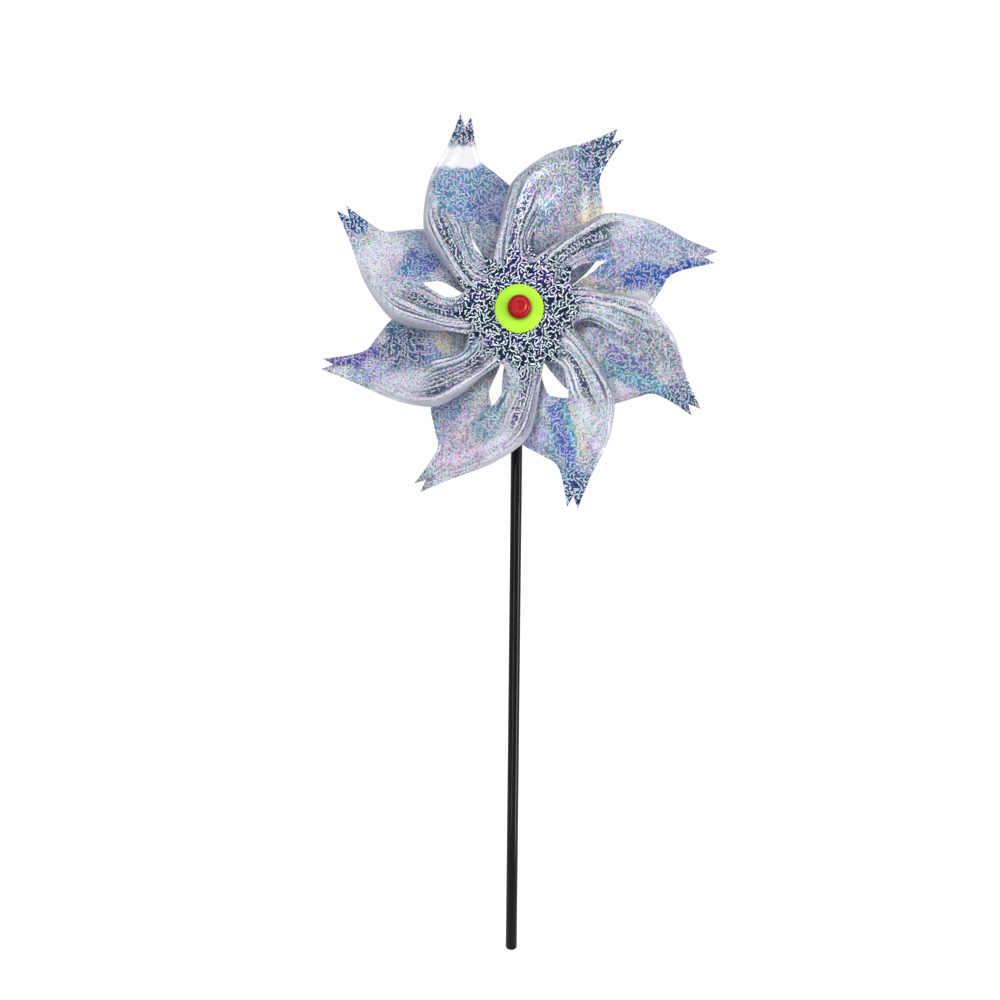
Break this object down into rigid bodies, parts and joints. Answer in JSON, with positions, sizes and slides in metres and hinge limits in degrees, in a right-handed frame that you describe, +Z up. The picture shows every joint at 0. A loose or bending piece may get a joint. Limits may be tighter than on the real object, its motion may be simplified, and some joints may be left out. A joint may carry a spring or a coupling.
{
  "type": "pinwheel",
  "caption": "garden pinwheel with rolled fork-tipped film petals on a hub that spins freely in front of a slim upright rod with a round cap",
  "frame": {"origin": "centre of the rod's foot, where the rod goes into the ground", "axes": "+Z up the rod, the wheel faces -Y, +X to the right as seen from the front"},
  "size_m": [0.2294, 0.0371, 0.4997],
  "materials": {
    "black_plastic": "gloss",
    "steel": "satin",
    "clear_plastic": "satin",
    "lime_plastic": "satin",
    "red_plastic": "gloss",
    "film": "holographic metallised film"
  },
  "bodies": {
    "stake": {"rod": "black_plastic", "rod_head": "black_plastic", "axle_pin": "steel", "standoff_tube": "clear_plastic", "red_cap": "red_plastic"},
    "wheel": {"hub_sleeve": "lime_plastic", "collar": "clear_plastic", "front_disc": "lime_plastic", "petal_1": "film", "petal_2": "film", "petal_3": "film", "petal_4": "film", "petal_5": "film", "petal_6": "film", "petal_7": "film", "petal_8": "film"}
  },
  "joints": [
    {"name": "wheel_spin", "type": "hinge", "parent": "stake", "child": "wheel", "pos_m": [0, -0.015, 0.385], "axis": [0, -1, 0], "continuous": true}
  ]
}
